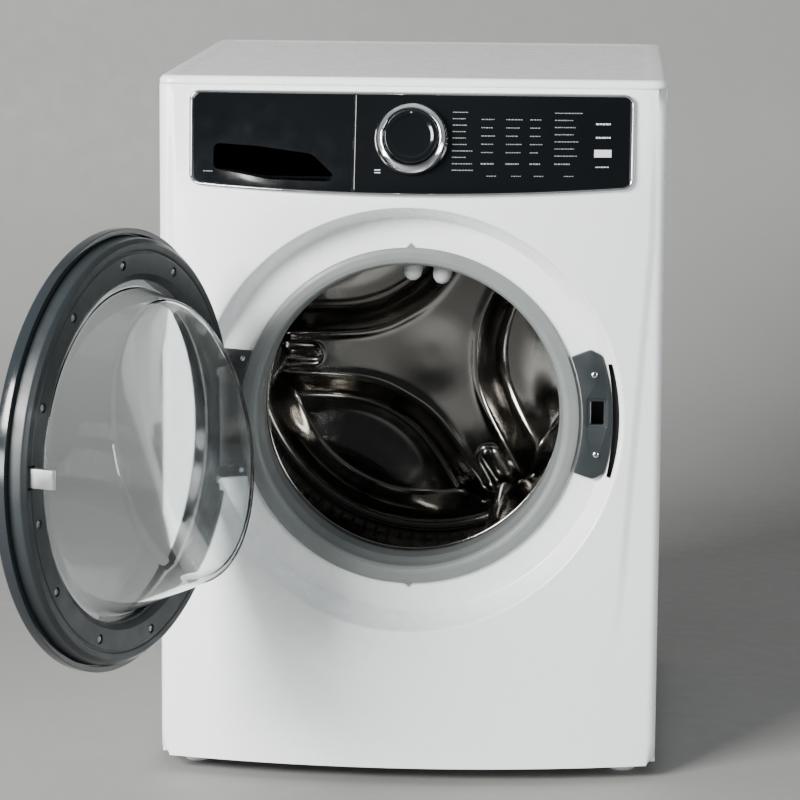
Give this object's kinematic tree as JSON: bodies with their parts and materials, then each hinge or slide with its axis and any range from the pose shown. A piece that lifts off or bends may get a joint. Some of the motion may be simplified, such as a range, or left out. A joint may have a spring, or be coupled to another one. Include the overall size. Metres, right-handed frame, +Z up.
{
  "type": "front load washing machine",
  "caption": "Front load washing machine with a bulging front, a round door open to the left, a steel drum, a drawer and a selector in a black console, and screw feet.",
  "frame": {"origin": "middle of the bottom of the bounding box, with the door open as at rest; the floor is Z = 0. The cabinet's own middle plane is at X = +0.066775 and its front corners are at Y = -0.103116.", "axes": "+Z up, +Y from the front to the back of the machine, +X to the right as seen from the front"},
  "size_m": [0.8196, 1.3178, 0.965],
  "materials": {
    "white_paint": "gloss",
    "zinc_sheet": "satin",
    "black_gloss": "gloss",
    "bright_trim": "polished",
    "stainless": "satin",
    "steel": "satin",
    "casting": "matte",
    "slate_plastic": "satin",
    "slate_gloss": "gloss",
    "grey_rubber": "matte",
    "black_rubber": "matte",
    "black_plastic": "matte",
    "pale_plastic": "satin",
    "tub_plastic": "matte",
    "concrete": "matte",
    "clear_glass": "polished",
    "smoked_window": "polished",
    "board": "satin"
  },
  "bodies": {
    "cabinet": {"front_panel": "white_paint", "left_side_panel": "white_paint", "right_side_panel": "white_paint", "top_panel": "white_paint", "rear_panel": "zinc_sheet", "rear_access_cover": "zinc_sheet", "base_frame": "zinc_sheet", "console_panel": "black_gloss", "console_trim": "bright_trim", "control_board": "board", "dispenser_housing": "pale_plastic", "hinge_bracket": "zinc_sheet", "hinge_pin": "steel", "latch_strike_plate": "slate_plastic", "door_lock": "black_plastic", "door_gasket": "grey_rubber", "spray_nozzle_middle": "pale_plastic", "spray_nozzle_right": "pale_plastic", "tub_front": "tub_plastic", "tub_rear": "tub_plastic", "counterweight_front": "concrete", "counterweight_top": "concrete", "water_heater": "steel", "tub_spring_left": "steel", "tub_spring_right": "steel", "tub_damper_left": "zinc_sheet", "tub_damper_right": "zinc_sheet", "shaft_bearing_front": "steel", "shaft_bearing_rear": "steel", "drive_motor": "casting", "drive_belt": "black_rubber", "inlet_valve": "pale_plastic", "fill_hose": "black_rubber", "sump_hose": "black_rubber", "drain_pump": "pale_plastic", "drain_hose": "black_rubber", "drain_outlet": "pale_plastic", "power_inlet": "black_plastic"},
    "door": {"door_outer_frame": "slate_gloss", "door_inner_frame": "slate_plastic", "door_glass_bowl": "clear_glass", "door_outer_window": "smoked_window", "door_hinge_leaf": "zinc_sheet"},
    "door_hook": {"door_hook": "zinc_sheet"},
    "drum": {"drum_shell": "stainless", "drum_back": "stainless", "drum_lifter_1": "stainless", "drum_lifter_2": "stainless", "drum_lifter_3": "stainless", "drum_spider": "casting", "drum_pulley": "casting"},
    "motor_rotor": {"motor_pulley": "steel"},
    "drawer": {"drawer_front": "black_gloss", "drawer_tray": "pale_plastic"},
    "selector": {"selector_ring": "bright_trim", "selector_cap": "black_gloss"},
    "foot_front_left": {"foot_front_left": "pale_plastic"},
    "foot_front_right": {"foot_front_right": "pale_plastic"},
    "foot_rear_left": {"foot_rear_left": "pale_plastic"},
    "foot_rear_right": {"foot_rear_right": "pale_plastic"}
  },
  "joints": [
    {"name": "door_hinge", "type": "hinge", "parent": "cabinet", "child": "door", "pos_m": [-0.19923, -0.14112, 0.503], "axis": [0, 0, 1], "range_deg": [-8.7, 111.3]},
    {"name": "door_hook_pivot", "type": "hinge", "parent": "door", "child": "door_hook", "pos_m": [-0.37616, -0.63348, 0.513], "axis": [0, 0, 1], "range_deg": [-5, 0], "stiffness_Nm_per_rad": 1},
    {"name": "drum_spin", "type": "hinge", "parent": "cabinet", "child": "drum", "pos_m": [0.06678, 0.19688, 0.503], "axis": [0, 1, 0], "continuous": true},
    {"name": "motor_spin", "type": "hinge", "parent": "cabinet", "child": "motor_rotor", "pos_m": [0.18677, 0.58088, 0.13], "axis": [0, 1, 0], "continuous": true},
    {"name": "drawer_slide", "type": "slide", "parent": "cabinet", "child": "drawer", "axis": [0, -1, 0], "range_m": [0, 0.26]},
    {"name": "selector_turn", "type": "hinge", "parent": "cabinet", "child": "selector", "pos_m": [0.06878, -0.12993, 0.885], "axis": [0, -0.9573, 0.2892], "continuous": true},
    {"name": "foot_front_left_height", "type": "slide", "parent": "cabinet", "child": "foot_front_left", "axis": [0, 0, -1], "range_m": [0, 0.02]},
    {"name": "foot_front_right_height", "type": "slide", "parent": "cabinet", "child": "foot_front_right", "axis": [0, 0, -1], "range_m": [0, 0.02]},
    {"name": "foot_rear_left_height", "type": "slide", "parent": "cabinet", "child": "foot_rear_left", "axis": [0, 0, -1], "range_m": [0, 0.02]},
    {"name": "foot_rear_right_height", "type": "slide", "parent": "cabinet", "child": "foot_rear_right", "axis": [0, 0, -1], "range_m": [0, 0.02]}
  ],
  "couplings": [
    {"joint": "motor_spin", "follows": "drum_spin", "ratio": 12.083}
  ]
}
